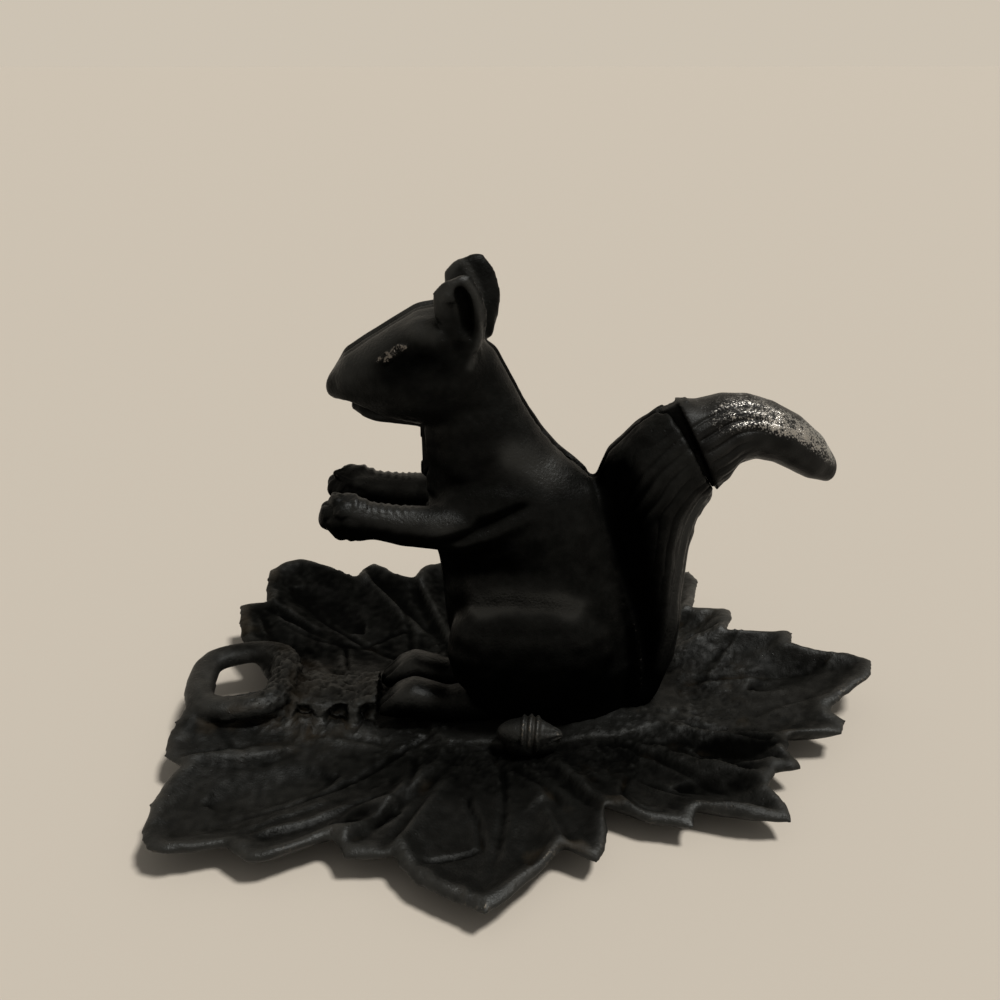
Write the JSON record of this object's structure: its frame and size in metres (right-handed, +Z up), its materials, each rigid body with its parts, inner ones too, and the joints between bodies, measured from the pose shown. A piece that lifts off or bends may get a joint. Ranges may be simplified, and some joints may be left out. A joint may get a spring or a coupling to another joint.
{
  "type": "lever nutcracker press",
  "caption": "Cast-iron lever nutcracker: a squirrel on a leaf tray whose tail lifts to drop the lower jaw and presses down to crack a nut.",
  "frame": {"origin": "on the table, under the middle of the leaf tray", "axes": "+X from the squirrel's nose to its tail handle, +Z up, the two shells meet on the plane Y = 0"},
  "size_m": [0.2276, 0.1852, 0.1503],
  "materials": {
    "dusty_iron": "black japanned cast iron, dull, with brown dust and rust tint on the rims and in the hollows",
    "japanned_iron": "black japanned cast iron, satin, worn smooth on the high places",
    "worn_iron": "black japanned cast iron, worn to bright bare metal on top of the handle",
    "plain_steel": "darkened plain steel"
  },
  "bodies": {
    "stand": {"leaf_tray": "dusty_iron", "left_body_half": "japanned_iron", "right_body_half": "japanned_iron", "pivot_pin": "plain_steel", "body_screw_crown": "plain_steel", "body_screw_belly": "plain_steel", "body_screw_rump": "plain_steel", "tray_washer_left": "plain_steel", "tray_screw_left": "plain_steel", "tray_washer_right": "plain_steel", "tray_screw_right": "plain_steel"},
    "lever": {"tail_lever": "worn_iron"}
  },
  "joints": [
    {"name": "tail_lift", "type": "hinge", "parent": "stand", "child": "lever", "pos_m": [0.00578, 0, 0.075], "axis": [0, -1, 0], "range_deg": [0, 13]}
  ]
}
